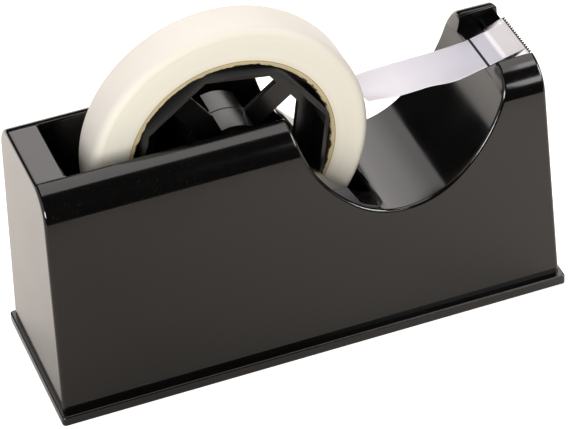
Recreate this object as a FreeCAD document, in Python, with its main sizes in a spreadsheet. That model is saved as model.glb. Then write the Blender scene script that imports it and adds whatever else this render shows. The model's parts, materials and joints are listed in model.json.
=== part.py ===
"""Weighted desk tape dispenser, built as separate pieces on one parametric sheet.

+X points to the cutting blade, +Y to the far long side, +Z up. The origin is the middle of
the footprint on the table. All sizes are in millimetres.
"""
import FreeCAD, Part
import math
import os
import Sketcher
from FreeCAD import Placement, Rotation, Vector

OUT_FOLDER = "parts"
NEAR = 0.02  # mm, within which an edge counts as lying on a place
document = FreeCAD.newDocument("tape_dispenser")

# ---------------------------------------------------------------------------------------
# Driving dimensions: alias, value, meaning
# ---------------------------------------------------------------------------------------
DIMENSIONS = (
    ("base_length", 203.0, "base plate, end to end"),
    ("base_width", 69.2, "base plate, side to side"),
    ("base_corner", 1.5, "plan radius of the base plate corners"),
    ("base_edge", 0.8, "rounding of the base plate's upper edge"),
    ("foot_proud", 0.5, "how far the feet stand below the base plate"),
    ("lip_top", 4.3, "height of the base plate's upper face"),
    ("body_foot_length", 200.2, "housing length where it meets the base plate"),
    ("body_top_length", 193.6, "housing length at the rim"),
    ("body_foot_width", 62.8, "housing width where it meets the base plate"),
    ("body_top_width", 55.0, "housing width at the rim, before the shoulder is rounded"),
    ("rim_height", 99.3, "height of the rim and of the two ears"),
    ("shoulder", 12.0, "radius of the long shoulders"),
    ("end_edge", 1.5, "rounding round the two end faces"),
    ("wall", 2.5, "moulded wall thickness"),
    ("well_half", 16.9, "half width of the roll well and of the blade channel"),
    ("well_rear", 84.8, "rear wall of the well, behind the middle"),
    ("well_front", 30.6, "front wall of the well, ahead of the middle"),
    ("well_floor", 22.0, "floor of the well"),
    ("well_corner", 28.0, "radius between the well's floor and its end walls"),
    ("scoop_x", 40.2, "middle of the finger scoop"),
    ("scoop_floor", 53.3, "lowest point of the finger scoop"),
    ("scoop_radius", 31.0, "radius of the scoop's floor"),
    ("flank_radius", 60.0, "radius of the scoop's two flanks"),
    ("flank_angle", 38.0, "angle from straight down where floor and flank meet"),
    ("scoop_edge", 1.2, "bevel along the scoop's edges"),
    ("ridge_rear", 80.6, "rear edge of the ridge that the tape lies on"),
    ("ridge_low", 91.6, "height of the ridge at its rear edge"),
    ("ridge_front", 88.4, "front edge of the ridge"),
    ("ridge_high", 93.5, "height of the ridge at its front edge"),
    ("seat_rear", 90.0, "rear end of the sloping blade seat"),
    ("seat_low", 92.2, "height of the blade seat at its rear end"),
    ("seat_slope", 0.406, "rise of the blade seat for each millimetre forward"),
    ("channel_rear", 74.6, "rear end of the blade channel"),
    ("slot_depth", 5.5, "depth of the slot that holds the blade's rear flange"),
    ("blade_width", 25.5, "width of the blade"),
    ("blade_sheet", 0.5, "thickness of the blade's sheet"),
    ("blade_bend", 96.3, "where the toothed edge bends up"),
    ("blade_tip", 98.2, "tips of the teeth"),
    ("blade_rise", 1.0, "how far the tips stand above the bend"),
    ("tooth_pitch", 1.5, "spacing of the teeth"),
    ("tooth_depth", 1.3, "depth of the notch between two teeth"),
    ("tooth_count", 17, "number of teeth"),
    ("tooth_flat", 0.05, "flat left on the point of a tooth"),
    ("bend_shift", 0.2, "how far the upper side of a bend lies behind its lower side"),
    ("axle_x", -20.0, "axle, along the length"),
    ("axle_height", 83.0, "axle above the table"),
    ("axle_radius", 4.0, "axle radius"),
    ("axle_length", 33.2, "axle length"),
    ("axle_play", 0.1, "clearance round the axle in its cradles and in the hub"),
    ("axle_chamfer", 0.5, "bevel of the axle's ends"),
    ("cradle_radius", 7.0, "outer radius of the cradles moulded on the well's walls"),
    ("cradle_face", 13.6, "inner face of the cradles, from the middle of the well"),
    ("cradle_top", 91.0, "top of the cradles"),
    ("cradle_flare", 1.2, "lead-in at the mouth of the cradles"),
    ("rim_edge", 1.2, "rounding of the rim along the well and the channel"),
    ("hub_inradius", 35.86, "octagonal drum, middle to the middle of a side"),
    ("hub_half_width", 12.0, "drum width on each side of the middle"),
    ("hub_wall", 1.6, "drum wall thickness"),
    ("hub_corner", 9.0, "rounding of the drum's eight corners"),
    ("hub_web", 1.2, "web thickness in each half"),
    ("hub_turn", 35.65, "angle of the first spoke above the horizontal"),
    ("spoke_half", 4.4, "half width of a spoke"),
    ("window_side", 29.65, "outer edge of the windows where a spoke ends, from the middle"),
    ("window_diagonal", 27.5, "outer edge of the windows between two spokes"),
    ("grip_radius", 14.6, "outer radius of the four small-core grips"),
    ("grip_wall", 1.8, "thickness of the small-core grips"),
    ("grip_gap", 9.8, "gap between two grips, in line with a spoke"),
    ("sleeve_radius", 6.5, "outer radius of the sleeve round the axle"),
    ("sleeve_end", 13.0, "end of the sleeve from the middle"),
    ("core_inner", 38.1, "paper core, inner radius"),
    ("core_outer", 40.4, "paper core, outer radius"),
    ("roll_outer", 53.8, "tape roll, outer radius"),
    ("tape_width", 19.05, "width of the tape and of its core"),
    ("tape_sheet", 0.25, "thickness of the free tape, as modelled"),
    ("strip_start", 34.1, "end of the free tape beside the roll"),
    ("strip_height", 88.8, "height of the free tape beside the roll"),
    ("strip_bend", 54.6, "where the free tape starts to rise"),
    ("strip_rise", 0.9, "rise of the tape up to there"),
    ("strip_end", 96.6, "front end of the free tape"),
    ("tape_clear", 0.05, "air under the tape where it rests"),
    ("foot_radius", 8.0, "radius of a foot"),
    ("foot_recess", 1.2, "depth of the foot recesses"),
    ("foot_x", 70.0, "feet, along the length"),
    ("foot_y", 20.5, "feet, across the width"),
    ("screw_x", 90.0, "base screws, along the length"),
    ("screw_y", 25.2, "base screws, across the width"),
    ("screw_radius", 1.5, "screw shank radius"),
    ("screw_head", 3.0, "screw head radius"),
    ("screw_head_height", 1.7, "screw head height"),
    ("screw_length", 11.0, "screw shank length"),
    ("screw_seat", 2.5, "height of the face that the screw heads bear on"),
    ("cross_reach", 1.6, "half length of a screw's cross recess"),
    ("cross_half", 0.35, "half width of the recess's arms"),
    ("cross_depth", 1.0, "depth of the cross recess"),
    ("rib_height", 2.4, "height of the locating ribs above the base plate"),
    ("rib_half_length", 81.6, "half length of the locating ribs"),
    ("pillar_radius", 4.4, "radius of the screw pillars"),
    ("pillar_top", 30.0, "height of the screw pillars"),
    ("ballast_half", 22.0, "half width of the ballast"),
    ("ballast_rear", 80.0, "rear end of the ballast, behind the middle"),
    ("ballast_step", 38.0, "where the ballast steps up, ahead of the middle"),
    ("ballast_front", 82.0, "front end of the ballast, ahead of the middle"),
    ("ballast_slab", 17.0, "top of the ballast's thin part"),
    ("ballast_block", 42.0, "top of the ballast's tall part"),
    ("peg_radius", 3.0, "locating pegs of the base plate"),
    ("peg_height", 6.0, "height of the pegs above the base plate"),
    ("peg_rear", -50.0, "rear peg, along the length"),
    ("peg_front", 20.0, "front peg, along the length"),
    ("fit_gap", 0.3, "assembly clearance"),
    ("pilot_room", 2.0, "depth of a screw hole past the screw's tip"),
    ("cut_over", 5.0, "how far a cutting sketch reaches past what it cuts"),
)

sheet = document.addObject("Spreadsheet::Sheet", "Sizes")
for row, (alias, value, meaning) in enumerate(DIMENSIONS, start=1):
    sheet.set(f"A{row}", meaning)
    sheet.set(f"B{row}", str(value))
    sheet.setAlias(f"B{row}", alias)
document.recompute()
SIZE = {alias: value for alias, value, meaning in DIMENSIONS}


def size(expression):
    """Turn plain alias names into sheet references, for setExpression."""
    out = expression
    for alias in sorted(SIZE, key=len, reverse=True):
        out = replace_word(out, alias, "Sizes." + alias)
    return out


def replace_word(text, word, new):
    """Replace whole words only, and leave words that already follow a dot."""
    pieces, start = [], 0
    while True:
        at = text.find(word, start)
        if at < 0:
            pieces.append(text[start:])
            return "".join(pieces)
        before = text[at - 1] if at else " "
        after = text[at + len(word)] if at + len(word) < len(text) else " "
        whole = not (before.isalnum() or before in "_.") and not (after.isalnum() or after == "_")
        pieces.append(text[start:at] + (new if whole else word))
        start = at + len(word)


def value_of(expression):
    """The number that an expression on the sheet gives now."""
    result = sheet.evalExpression(size(expression))
    return float(getattr(result, "Value", result))


def bind(thing, prop, expression):
    """Bind one property to the sheet."""
    thing.setExpression(prop, size(expression))


# ---------------------------------------------------------------------------------------
# Sketch helpers
# ---------------------------------------------------------------------------------------
def new_body(label):
    return document.addObject("PartDesign::Body", label)


def plane_of(body, role):
    return next(part for part in body.Origin.OriginFeatures if part.Role == role)


def new_sketch(body, name, role, lift="0"):
    """A sketch on one of the body's own planes, moved along the plane's normal by lift."""
    sketch = body.newObject("Sketcher::SketchObject", name)
    sketch.AttachmentSupport = (plane_of(body, role), "")
    sketch.MapMode = "FlatFace"
    if lift != "0":
        bind(sketch, "AttachmentOffset.Base.z", lift)
    return sketch


def free_sketch(name, rotation=None):
    """A sketch outside any body, for a plain extrusion."""
    sketch = document.addObject("Sketcher::SketchObject", name)
    if rotation is not None:
        sketch.Placement = Placement(Vector(0, 0, 0), rotation)
    return sketch


UPRIGHT_LONG = Rotation(Vector(1, 0, 0), 90)
UPRIGHT_CROSS = Rotation(Vector(1, 1, 1), 120)


def hold(sketch, kind, geometry, vertex, expression):
    """Hold one vertex at a distance from the sketch's origin, along one axis."""
    if abs(value_of(expression)) < 1e-9:
        axis = -2 if kind == "DistanceX" else -1
        sketch.addConstraint(Sketcher.Constraint("PointOnObject", geometry, vertex, axis))
        return
    index = sketch.addConstraint(
        Sketcher.Constraint(kind, -1, 1, geometry, vertex, value_of(expression)))
    sketch.setExpression(f"Constraints[{index}]", size(expression))


def pin(sketch, geometry, vertex, across, up):
    """Hold one vertex at a place given by two expressions."""
    hold(sketch, "DistanceX", geometry, vertex, across)
    hold(sketch, "DistanceY", geometry, vertex, up)


def outline(sketch, corners):
    """Closed outline. A corner is (across, up), and (across, up, radius, turn) starts an arc.

    turn is +1 where the arc runs anticlockwise to the next corner and -1 where clockwise.
    """
    points = [Vector(value_of(c[0]), value_of(c[1]), 0) for c in corners]
    count = len(corners)
    first = sketch.GeometryCount
    ends = []
    for i, corner in enumerate(corners):
        start, stop = points[i], points[(i + 1) % count]
        if len(corner) == 2:
            sketch.addGeometry(Part.LineSegment(start, stop))
            ends.append((1, 2))
            continue
        radius, turn = value_of(corner[2]), corner[3]
        chord = stop - start
        side = Vector(-chord.y, chord.x, 0).normalize() * turn
        height = math.sqrt(max(radius ** 2 - (chord.Length / 2) ** 2, 0))
        centre = (start + stop) * 0.5 + side * height
        angles = [math.atan2(p.y - centre.y, p.x - centre.x) for p in (start, stop)]
        circle = Part.Circle(centre, Vector(0, 0, 1), radius)
        if turn > 0:
            sketch.addGeometry(Part.ArcOfCircle(circle, angles[0], angles[1]))
            ends.append((1, 2))
        else:
            sketch.addGeometry(Part.ArcOfCircle(circle, angles[1], angles[0]))
            ends.append((2, 1))
    for i in range(count):
        here, after = first + i, first + (i + 1) % count
        sketch.addConstraint(
            Sketcher.Constraint("Coincident", here, ends[i][1], after, ends[(i + 1) % count][0]))
    for i, corner in enumerate(corners):
        pin(sketch, first + i, ends[i][0], corner[0], corner[1])
        if len(corner) == 2:
            continue
        half_circle = (points[(i + 1) % count] - points[i]).Length > 1.9999 * value_of(corner[2])
        if half_circle:
            hold(sketch, "DistanceY", first + i, 3, corner[1])
        else:
            index = sketch.addConstraint(
                Sketcher.Constraint("Radius", first + i, value_of(corner[2])))
            sketch.setExpression(f"Constraints[{index}]", size(corner[2]))


def rectangle(sketch, low, high, left, right):
    """Upright rectangle from left to right and from low to high."""
    outline(sketch, ((left, low), (right, low), (right, high), (left, high)))


def circle(sketch, radius, across="0", up="0"):
    """Circle whose middle and radius are bound to the sheet."""
    middle = Vector(value_of(across), value_of(up), 0)
    index = sketch.addGeometry(Part.Circle(middle, Vector(0, 0, 1), value_of(radius)))
    held = sketch.addConstraint(Sketcher.Constraint("Radius", index, value_of(radius)))
    sketch.setExpression(f"Constraints[{held}]", size(radius))
    pin(sketch, index, 3, across, up)


def pad(body, sketch, length, name, both_ways=False, reverse=False):
    feature = body.newObject("PartDesign::Pad", name)
    feature.Profile = sketch
    bind(feature, "Length", length)
    feature.Midplane = both_ways
    feature.Reversed = reverse
    document.recompute()
    return feature


def pocket(body, sketch, length, name, both_ways=False, reverse=False):
    """Cut the sketch out of the body, and make sure that it took something away."""
    before = body.Shape.Volume
    feature = body.newObject("PartDesign::Pocket", name)
    feature.Profile = sketch
    bind(feature, "Length", length)
    feature.Midplane = both_ways
    feature.Reversed = reverse
    document.recompute()
    if body.Shape.Volume > before - 1e-3:
        raise RuntimeError(name + " cut nothing")
    return feature


def edges_where(feature, test):
    """Names of the feature's edges whose points all pass a test."""
    names = []
    for number, edge in enumerate(feature.Shape.Edges, start=1):
        if all(test(point) for point in edge.discretize(5)):
            names.append(f"Edge{number}")
    return names


def fillet(body, feature, names, radius, name):
    rounded = body.newObject("PartDesign::Fillet", name)
    rounded.Base = (feature, names)
    bind(rounded, "Radius", radius)
    document.recompute()
    return rounded


def chamfer(body, feature, names, length, name):
    bevel = body.newObject("PartDesign::Chamfer", name)
    bevel.Base = (feature, names)
    bind(bevel, "Size", length)
    document.recompute()
    return bevel


def around_axis(body, features, role, count, name):
    pattern = body.newObject("PartDesign::PolarPattern", name)
    pattern.Originals = features
    pattern.Axis = (plane_of(body, role), [""])
    pattern.Angle = 360
    pattern.Occurrences = count
    body.Tip = pattern
    document.recompute()
    return pattern


def extrusion(sketch, direction, length, name):
    """Plain extrusion, the same length on both sides of its sketch."""
    solid = document.addObject("Part::Extrusion", name)
    solid.Base = sketch
    solid.DirMode = "Custom"
    solid.Dir = direction
    bind(solid, "LengthFwd", length)
    bind(solid, "LengthRev", length)
    solid.Solid = True
    return solid


# ---------------------------------------------------------------------------------------
# Housing: one moulded shell with the roll well, the finger scoop and the two ears
# ---------------------------------------------------------------------------------------
ARM = "(flank_radius - scoop_radius)"
ARC_MIDDLE = "(scoop_floor + scoop_radius)"
SINE = "sin(flank_angle * 1deg)"
COSINE = "cos(flank_angle * 1deg)"


def scoop_top(side, growth, height):
    """Where a flank of the scoop meets a height. side is -1 at the rear and +1 in front."""
    sign = "-" if side < 0 else "+"
    other = "+" if side < 0 else "-"
    root = (f"sqrt((flank_radius + {growth}) ^ 2 "
            f"- ({ARC_MIDDLE} + {ARM} * {COSINE} - ({height})) ^ 2)")
    return f"scoop_x {other} {ARM} * {SINE} {sign} {root}"


def scoop_joint(side, growth):
    """Point where the scoop's floor arc meets a flank."""
    sign = "-" if side < 0 else "+"
    return (f"scoop_x {sign} (scoop_radius + {growth}) * {SINE}",
            f"{ARC_MIDDLE} - (scoop_radius + {growth}) * {COSINE}")


def side_outline(sketch, inset, foot, top):
    """Long side view of the housing. inset moves it inwards by a wall."""
    rear_joint, front_joint = scoop_joint(-1, inset), scoop_joint(1, inset)
    outline(sketch, (
        (f"-(body_foot_length / 2 - {inset})", foot),
        (f"body_foot_length / 2 - {inset}", foot),
        (f"body_top_length / 2 - {inset}", top),
        (scoop_top(1, inset, top), top, f"flank_radius + {inset}", -1),
        (front_joint[0], front_joint[1], f"scoop_radius + {inset}", -1),
        (rear_joint[0], rear_joint[1], f"flank_radius + {inset}", -1),
        (scoop_top(-1, inset, top), top),
        (f"-(body_top_length / 2 - {inset})", top),
    ))


# The side wall leans in by the difference of the two widths, and the shoulder's arc is
# tangent to that wall and to the level rim.
LEAN = "atan((body_foot_width - body_top_width) / 2 / (rim_height - lip_top))"
TANGENT = f"(shoulder * tan((90deg - {LEAN}) / 2))"


def half_section(inset):
    """Points of the cross-section from the rim's flat to the foot, on the far side."""
    arc = f"(shoulder - {inset})"
    flat_end = f"body_top_width / 2 - {TANGENT}"
    return {
        "flat": (flat_end, f"rim_height - {inset}"),
        "wall": (f"{flat_end} + {arc} * cos({LEAN})",
                 f"rim_height - shoulder + {arc} * sin({LEAN})"),
        "foot": f"body_foot_width / 2 - {inset}",
    }


def cross_section(sketch, inset, foot):
    """Cross-section of the housing with its leaning sides and rounded shoulders."""
    far = half_section(inset)
    flat, wall = far["flat"], far["wall"]
    arc = f"shoulder - {inset}"
    outline(sketch, (
        (f"-({far['foot']})", foot),
        (far["foot"], foot),
        (wall[0], wall[1], arc, 1),
        (flat[0], flat[1]),
        (f"-({flat[0]})", flat[1], arc, 1),
        (f"-({wall[0]})", wall[1]),
    ))


def well_outline(sketch, growth):
    """Side view of the roll well, open at the top."""
    corner = f"(well_corner + {growth})"
    rear = f"-(well_rear + {growth})"
    front = f"well_front + {growth}"
    floor = f"well_floor - {growth}"
    top = "rim_height + cut_over"
    outline(sketch, (
        (front, top),
        (rear, top),
        (rear, f"{floor} + {corner}", corner, 1),
        (f"{rear} + {corner}", floor),
        (f"{front} - {corner}", floor, corner, 1),
        (front, f"{floor} + {corner}"),
    ))


def on_end_face(point, side):
    """True on the contour of one of the two leaning end faces, above the foot."""
    share = (point.z - SIZE["lip_top"]) / (SIZE["rim_height"] - SIZE["lip_top"])
    lean = (SIZE["body_foot_length"] - SIZE["body_top_length"]) / 2
    reach = SIZE["body_foot_length"] / 2 - lean * share
    return abs(point.x * side - reach) < NEAR and point.z > SIZE["lip_top"] - NEAR


def scoop_distance(point):
    """Distance of a point from the scoop's surface, seen from the side."""
    swing = math.radians(SIZE["flank_angle"])
    arm = SIZE["flank_radius"] - SIZE["scoop_radius"]
    middle = SIZE["scoop_floor"] + SIZE["scoop_radius"]
    across, up = point.x - SIZE["scoop_x"], point.z - middle
    if abs(math.atan2(across, -up)) <= swing:
        return math.hypot(across, up) - SIZE["scoop_radius"]
    side = math.copysign(1, across)
    centre_up = arm * math.cos(swing)
    return math.hypot(across + side * arm * math.sin(swing), up - centre_up) - SIZE["flank_radius"]


def on_scoop_edge(point):
    """True along the two long edges of the scoop and along its level ends at the rim."""
    outer = abs(point.y) > SIZE["well_half"] - SIZE["scoop_edge"]
    level = abs(point.z - SIZE["rim_height"]) < NEAR
    return abs(scoop_distance(point)) < NEAR and (outer or level)


def make_outer_shell():
    """The housing's outside with its well and blade channel, still solid inside."""
    body = new_body("housing_outside")
    profile = new_sketch(body, "side_profile", "XZ_Plane")
    side_outline(profile, "0", "lip_top", "rim_height")
    block = pad(body, profile, "body_foot_width + 2 * cut_over", "side_block", both_ways=True)

    far = half_section("0")
    shave = new_sketch(body, "section_waste", "YZ_Plane")
    for sign in ("", "-"):
        turn = 1 if sign == "" else -1
        foot_edge, clear = f"{sign}({far['foot']})", f"{sign}(body_foot_width / 2 + 2 * cut_over)"
        outline(shave, (
            (clear, "lip_top"),
            (clear, "rim_height + cut_over"),
            (f"{sign}({far['flat'][0]})", "rim_height + cut_over"),
            (f"{sign}({far['flat'][0]})", far["flat"][1], "shoulder", -turn),
            (f"{sign}({far['wall'][0]})", far["wall"][1]),
            (foot_edge, "lip_top"),
        ))
    pocket(body, shave, "body_foot_length + 2 * cut_over", "leaning_sides", both_ways=True)

    leaning = body.Tip
    ends = edges_where(leaning, lambda p: on_end_face(p, -1) or on_end_face(p, 1))
    foot_edges = edges_where(leaning, lambda p: abs(p.z - SIZE["lip_top"]) < NEAR)
    ends = [name for name in ends if name not in foot_edges]
    rounded_ends = fillet(body, leaning, ends, "end_edge", "end_rounding")
    bevelled = edges_where(rounded_ends, on_scoop_edge)
    chamfer(body, rounded_ends, bevelled, "scoop_edge", "scoop_bevel")

    well = new_sketch(body, "well_profile", "XZ_Plane")
    well_outline(well, "0")
    pocket(body, well, "well_half * 2", "roll_well", both_ways=True)

    channel = new_sketch(body, "channel_profile", "XZ_Plane")
    front = "body_top_length / 2 + cut_over"
    outline(channel, (
        ("channel_rear", "ridge_low"),
        ("ridge_rear", "ridge_low"),
        ("ridge_front", "ridge_high"),
        ("ridge_front", "ridge_low"),
        ("seat_rear - blade_sheet", "ridge_low"),
        ("seat_rear - blade_sheet", "seat_low - slot_depth"),
        ("seat_rear", "seat_low - slot_depth"),
        ("seat_rear", "seat_low"),
        (front, seat_height(front)),
        (front, "rim_height + cut_over"),
        ("channel_rear", "rim_height + cut_over"),
    ))
    pocket(body, channel, "well_half * 2", "blade_channel", both_ways=True)

    long_rims = new_sketch(body, "long_rim_rounding", "YZ_Plane", "-well_rear")
    for sign in ("", "-"):
        rounded_corner(long_rims, sign, "well_half")
    pocket(body, long_rims, "well_rear + body_foot_length / 2", "long_rims", reverse=True)
    rear_rim = new_sketch(body, "rear_rim_rounding", "XZ_Plane")
    rounded_corner(rear_rim, "-", "well_rear")
    pocket(body, rear_rim, "well_half * 2", "rear_rim", both_ways=True)
    for side, name in (("", "near"), ("-", "far")):
        add_cradle(body, side, name)
    return body


def rounded_corner(sketch, sign, wall_face):
    """What a rounding takes off the rim where it meets a wall of the well."""
    turn = 1 if sign else -1
    outline(sketch, (
        (f"{sign}{wall_face}", "rim_height - rim_edge", "rim_edge", turn),
        (f"{sign}({wall_face} + rim_edge)", "rim_height"),
        (f"{sign}({wall_face} + rim_edge)", "rim_height + cut_over"),
        (f"{sign}({wall_face} - cut_over)", "rim_height + cut_over"),
        (f"{sign}({wall_face} - cut_over)", "rim_height - rim_edge"),
    ))


def add_cradle(body, side, name):
    """U-shaped cradle that holds one end of the axle, open at the top."""
    root = f"{side}(well_half + wall / 2)"
    depth = "well_half + wall / 2 - cradle_face"
    lug = new_sketch(body, name + "_cradle", "XZ_Plane", root)
    top = "cradle_top"
    left, right = "axle_x - cradle_radius", "axle_x + cradle_radius"
    outline(lug, (
        (left, "axle_height", "cradle_radius", 1),
        (right, "axle_height"),
        (right, top),
        (left, top),
    ))
    pad(body, lug, depth, name + "_cradle_lug", reverse=side == "")

    groove = "(axle_radius + axle_play)"
    left, right = f"axle_x - {groove}", f"axle_x + {groove}"
    mouth = new_sketch(body, name + "_groove", "XZ_Plane", f"{side}well_half")
    outline(mouth, (
        (left, "axle_height", groove, 1),
        (right, "axle_height"),
        (right, "cradle_top - cradle_flare"),
        (f"{right} + cradle_flare", top),
        (f"{right} + cradle_flare", f"{top} + cut_over"),
        (f"{left} - cradle_flare", f"{top} + cut_over"),
        (f"{left} - cradle_flare", top),
        (left, "cradle_top - cradle_flare"),
    ))
    pocket(body, mouth, "well_half - cradle_face + cut_over", name + "_axle_groove", reverse=side != "")


def make_hollow():
    """The space inside the housing, cored from below to one wall thickness."""
    side = free_sketch("core_side", UPRIGHT_LONG)
    side_outline(side, "wall", "lip_top - cut_over", "rim_height - wall")
    side_core = extrusion(side, Vector(0, 1, 0), "body_foot_width / 2", "core_along")
    section = free_sketch("core_section", UPRIGHT_CROSS)
    cross_section(section, "wall", "lip_top - cut_over")
    cross_core = extrusion(section, Vector(1, 0, 0), "body_foot_length / 2", "core_across")
    core = document.addObject("Part::MultiCommon", "core")
    core.Shapes = [side_core, cross_core]

    jacket_sketch = free_sketch("well_jacket_side", UPRIGHT_LONG)
    well_outline(jacket_sketch, "wall")
    jacket = extrusion(jacket_sketch, Vector(0, 1, 0), "well_half + wall", "well_jacket")
    head = document.addObject("Part::Box", "head_jacket")
    bind(head, "Length", "body_top_length / 2 - channel_rear + wall")
    bind(head, "Width", "2 * (well_half + wall)")
    bind(head, "Height", "rim_height - seat_low + slot_depth + wall")
    bind(head, "Placement.Base.x", "channel_rear - wall")
    bind(head, "Placement.Base.y", "-(well_half + wall)")
    bind(head, "Placement.Base.z", "seat_low - slot_depth - wall")
    kept = [jacket, head]
    for name, across, along in SCREW_PLACES:
        kept.append(column(name + "_pillar", "pillar_radius", across, along,
                           "lip_top - cut_over", "pillar_top"))
    kept_in_place = document.addObject("Part::MultiFuse", "kept_material")
    kept_in_place.Shapes = kept
    hollow = document.addObject("Part::Cut", "hollow")
    hollow.Base = core
    hollow.Tool = kept_in_place
    return hollow


def column(name, radius, across, along, low, high):
    """Upright cylinder between two heights, bound to the sheet."""
    round_bar = document.addObject("Part::Cylinder", name)
    bind(round_bar, "Radius", radius)
    bind(round_bar, "Height", f"({high}) - ({low})")
    bind(round_bar, "Placement.Base.x", across)
    bind(round_bar, "Placement.Base.y", along)
    bind(round_bar, "Placement.Base.z", low)
    return round_bar


CORNERS = (("front_near", "", "-"), ("front_far", "", ""),
           ("rear_near", "-", "-"), ("rear_far", "-", ""))
SCREW_PLACES = tuple((name, x_sign + "screw_x", y_sign + "screw_y")
                     for name, x_sign, y_sign in CORNERS)
FOOT_PLACES = tuple((name, x_sign + "foot_x", y_sign + "foot_y")
                    for name, x_sign, y_sign in CORNERS)


def make_housing():
    """Shell with its core and the four screw holes taken out."""
    outside = make_outer_shell()
    taken = [make_hollow()]
    for name, across, along in SCREW_PLACES:
        taken.append(column(name + "_pilot", "screw_radius", across, along,
                            "lip_top - cut_over", "screw_seat + screw_length + pilot_room"))
    spaces = document.addObject("Part::MultiFuse", "housing_spaces")
    spaces.Shapes = taken
    housing = document.addObject("Part::Cut", "housing_shell")
    housing.Base = outside
    housing.Tool = spaces
    housing.Label = "housing"
    return housing


# ---------------------------------------------------------------------------------------
# Base: plate, feet, screws and ballast
# ---------------------------------------------------------------------------------------
def make_base_plate():
    """Plate with a rounded edge, two locating ribs, two pegs and the recesses below."""
    body = new_body("base_plate")
    plan = new_sketch(body, "plate_plan", "XY_Plane", "foot_proud")
    rectangle(plan, "-base_width / 2", "base_width / 2", "-base_length / 2", "base_length / 2")
    plate = pad(body, plan, "lip_top - foot_proud", "plate")
    upright = edges_where(plate, on_plate_corner)
    corners = fillet(body, plate, upright, "base_corner", "plate_corners")
    upper = edges_where(corners, lambda p: abs(p.z - SIZE["lip_top"]) < NEAR)
    fillet(body, corners, upper, "base_edge", "plate_edge")

    ribs = new_sketch(body, "rib_plan", "XY_Plane", "lip_top")
    outer = "(body_foot_width / 2 - wall - fit_gap)"
    for sign in ("", "-"):
        low, high = f"{sign}({outer} - wall)", f"{sign}{outer}"
        rectangle(ribs, low, high, "-rib_half_length", "rib_half_length")
    pad(body, ribs, "rib_height", "locating_ribs")
    pegs = new_sketch(body, "peg_plan", "XY_Plane", "lip_top")
    circle(pegs, "peg_radius", "peg_rear")
    circle(pegs, "peg_radius", "peg_front")
    pad(body, pegs, "peg_height", "ballast_pegs")

    foot_beds = new_sketch(body, "foot_bed_plan", "XY_Plane", "foot_proud")
    for name, across, along in FOOT_PLACES:
        circle(foot_beds, "foot_radius + fit_gap", across, along)
    pocket(body, foot_beds, "foot_recess", "foot_beds", reverse=True)
    head_beds = new_sketch(body, "head_bed_plan", "XY_Plane", "foot_proud")
    holes = new_sketch(body, "screw_hole_plan", "XY_Plane", "foot_proud")
    for name, across, along in SCREW_PLACES:
        circle(head_beds, "screw_head + fit_gap", across, along)
        circle(holes, "screw_radius + fit_gap", across, along)
    pocket(body, head_beds, "screw_seat - foot_proud", "screw_head_beds", reverse=True)
    pocket(body, holes, "lip_top - foot_proud + cut_over", "screw_holes", reverse=True)
    return body


def on_plate_corner(point):
    """True along the plate's four upright corners."""
    return (abs(abs(point.x) - SIZE["base_length"] / 2) < NEAR
            and abs(abs(point.y) - SIZE["base_width"] / 2) < NEAR)


def make_foot(name, across, along):
    """Round rubber foot, stuck in its recess."""
    body = new_body("foot_" + name)
    plan = new_sketch(body, "foot_plan_" + name, "XY_Plane")
    circle(plan, "foot_radius")
    pad(body, plan, "foot_proud + foot_recess", "foot_disc_" + name)
    bind(body, "Placement.Base.x", across)
    bind(body, "Placement.Base.y", along)
    return body


def make_screw(name, across, along):
    """Pan-head screw with a cross recess, driven from below."""
    body = new_body("screw_" + name)
    half = new_sketch(body, "screw_half_" + name, "XZ_Plane")
    outline(half, (
        ("0", "screw_seat - screw_head_height"),
        ("screw_head", "screw_seat - screw_head_height"),
        ("screw_head", "screw_seat"),
        ("screw_radius", "screw_seat"),
        ("screw_radius", "screw_seat + screw_length"),
        ("0", "screw_seat + screw_length"),
    ))
    turned = body.newObject("PartDesign::Revolution", "screw_turned_" + name)
    turned.Profile = half
    turned.ReferenceAxis = (half, ["V_Axis"])
    turned.Angle = 360
    document.recompute()
    cross = new_sketch(body, "screw_cross_" + name, "XY_Plane", "screw_seat - screw_head_height")
    long, short = "cross_reach", "cross_half"
    outline(cross, (
        (long, "-" + short), (long, short), (short, short), (short, long),
        ("-" + short, long), ("-" + short, short), ("-" + long, short),
        ("-" + long, "-" + short), ("-" + short, "-" + short), ("-" + short, "-" + long),
        (short, "-" + long), (short, "-" + short),
    ))
    pocket(body, cross, "cross_depth", "screw_recess_" + name, reverse=True)
    bind(body, "Placement.Base.x", across)
    bind(body, "Placement.Base.y", along)
    return body


def make_screws():
    """The four base screws, kept together as one group of solids."""
    screws = [make_screw(name, across, along) for name, across, along in SCREW_PLACES]
    group = document.addObject("Part::Compound", "screw_group")
    group.Links = screws
    group.Label = "base_screws"
    return group


def make_ballast():
    """Cast weight: a slab under the well and a tall block under the scoop."""
    body = new_body("ballast_block")
    profile = new_sketch(body, "ballast_profile", "XZ_Plane")
    outline(profile, (
        ("-ballast_rear", "lip_top"),
        ("ballast_front", "lip_top"),
        ("ballast_front", "ballast_block"),
        ("ballast_step", "ballast_block"),
        ("ballast_step", "ballast_slab"),
        ("-ballast_rear", "ballast_slab"),
    ))
    pad(body, profile, "2 * ballast_half", "ballast_casting", both_ways=True)
    holes = new_sketch(body, "ballast_holes", "XY_Plane", "lip_top")
    circle(holes, "peg_radius + fit_gap", "peg_rear")
    circle(holes, "peg_radius + fit_gap", "peg_front")
    pocket(body, holes, "peg_height + 2 * fit_gap", "ballast_peg_holes", reverse=True)
    return body


# ---------------------------------------------------------------------------------------
# Blade and free tape
# ---------------------------------------------------------------------------------------
def seat_height(along):
    """Height of the blade seat at a place along the length."""
    return f"(seat_low + seat_slope * (({along}) - seat_rear))"


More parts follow.
